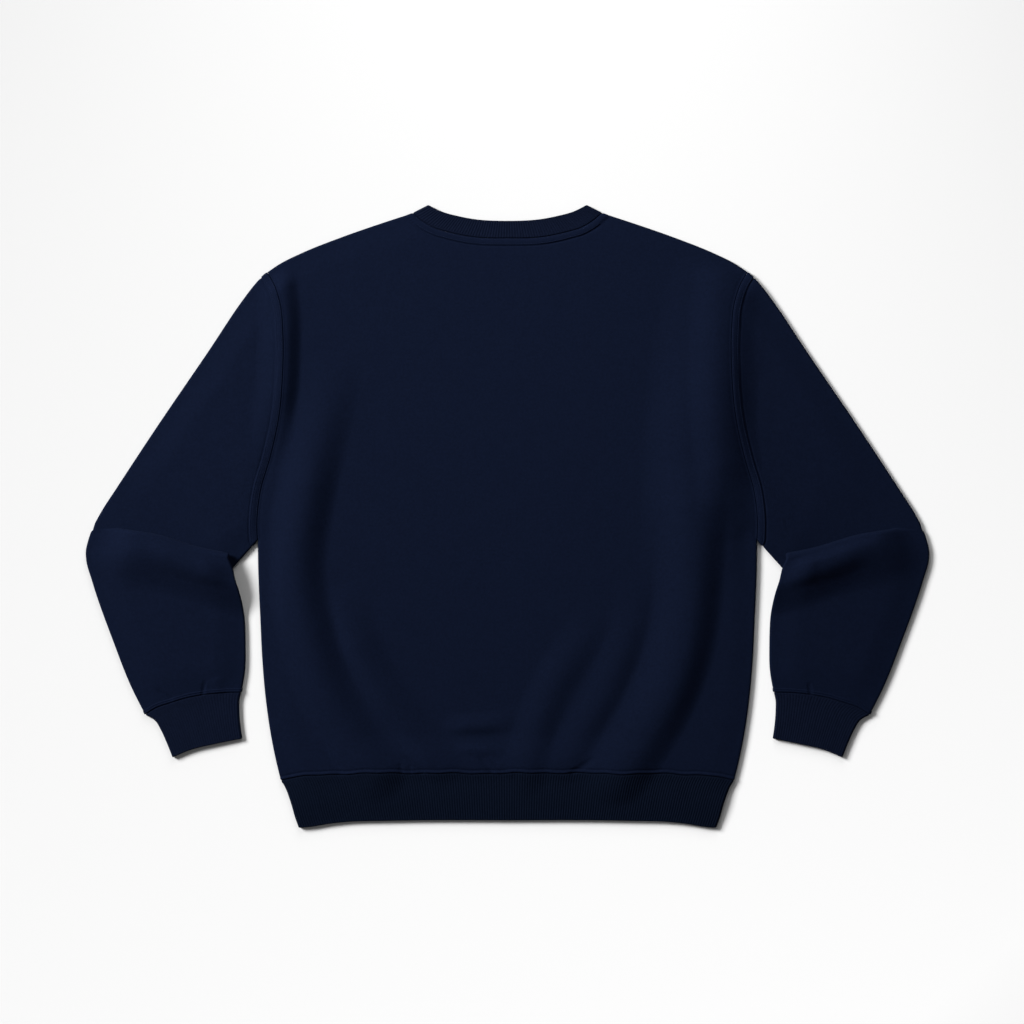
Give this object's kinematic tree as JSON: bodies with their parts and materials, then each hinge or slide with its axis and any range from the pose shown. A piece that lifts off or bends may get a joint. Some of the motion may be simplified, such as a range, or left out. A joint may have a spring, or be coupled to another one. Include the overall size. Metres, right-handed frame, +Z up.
{
  "type": "crewneck sweatshirt",
  "caption": "Plain navy crewneck sweatshirt laid flat on its front, sleeves bent at the elbow, with ribbed collar, cuffs and hem.",
  "frame": {"origin": "under the middle of the whole outline, on the surface the garment lies on", "axes": "+X across the body towards the wearer's right sleeve, +Y from hem to neck, +Z up out of the surface, out of the back panel"},
  "size_m": [0.9766, 0.7218, 0.0209],
  "materials": {
    "navy_fleece": "matte brushed-back jersey with fine knit grain",
    "navy_rib": "matte 1x1 rib knit"
  },
  "bodies": {
    "root": {"back_panel": "navy_fleece", "front_panel": "navy_fleece", "sleeve_left": "navy_fleece", "sleeve_right": "navy_fleece", "collar": "navy_rib", "hem_band": "navy_rib", "cuff_left": "navy_rib", "cuff_right": "navy_rib"}
  },
  "joints": []
}
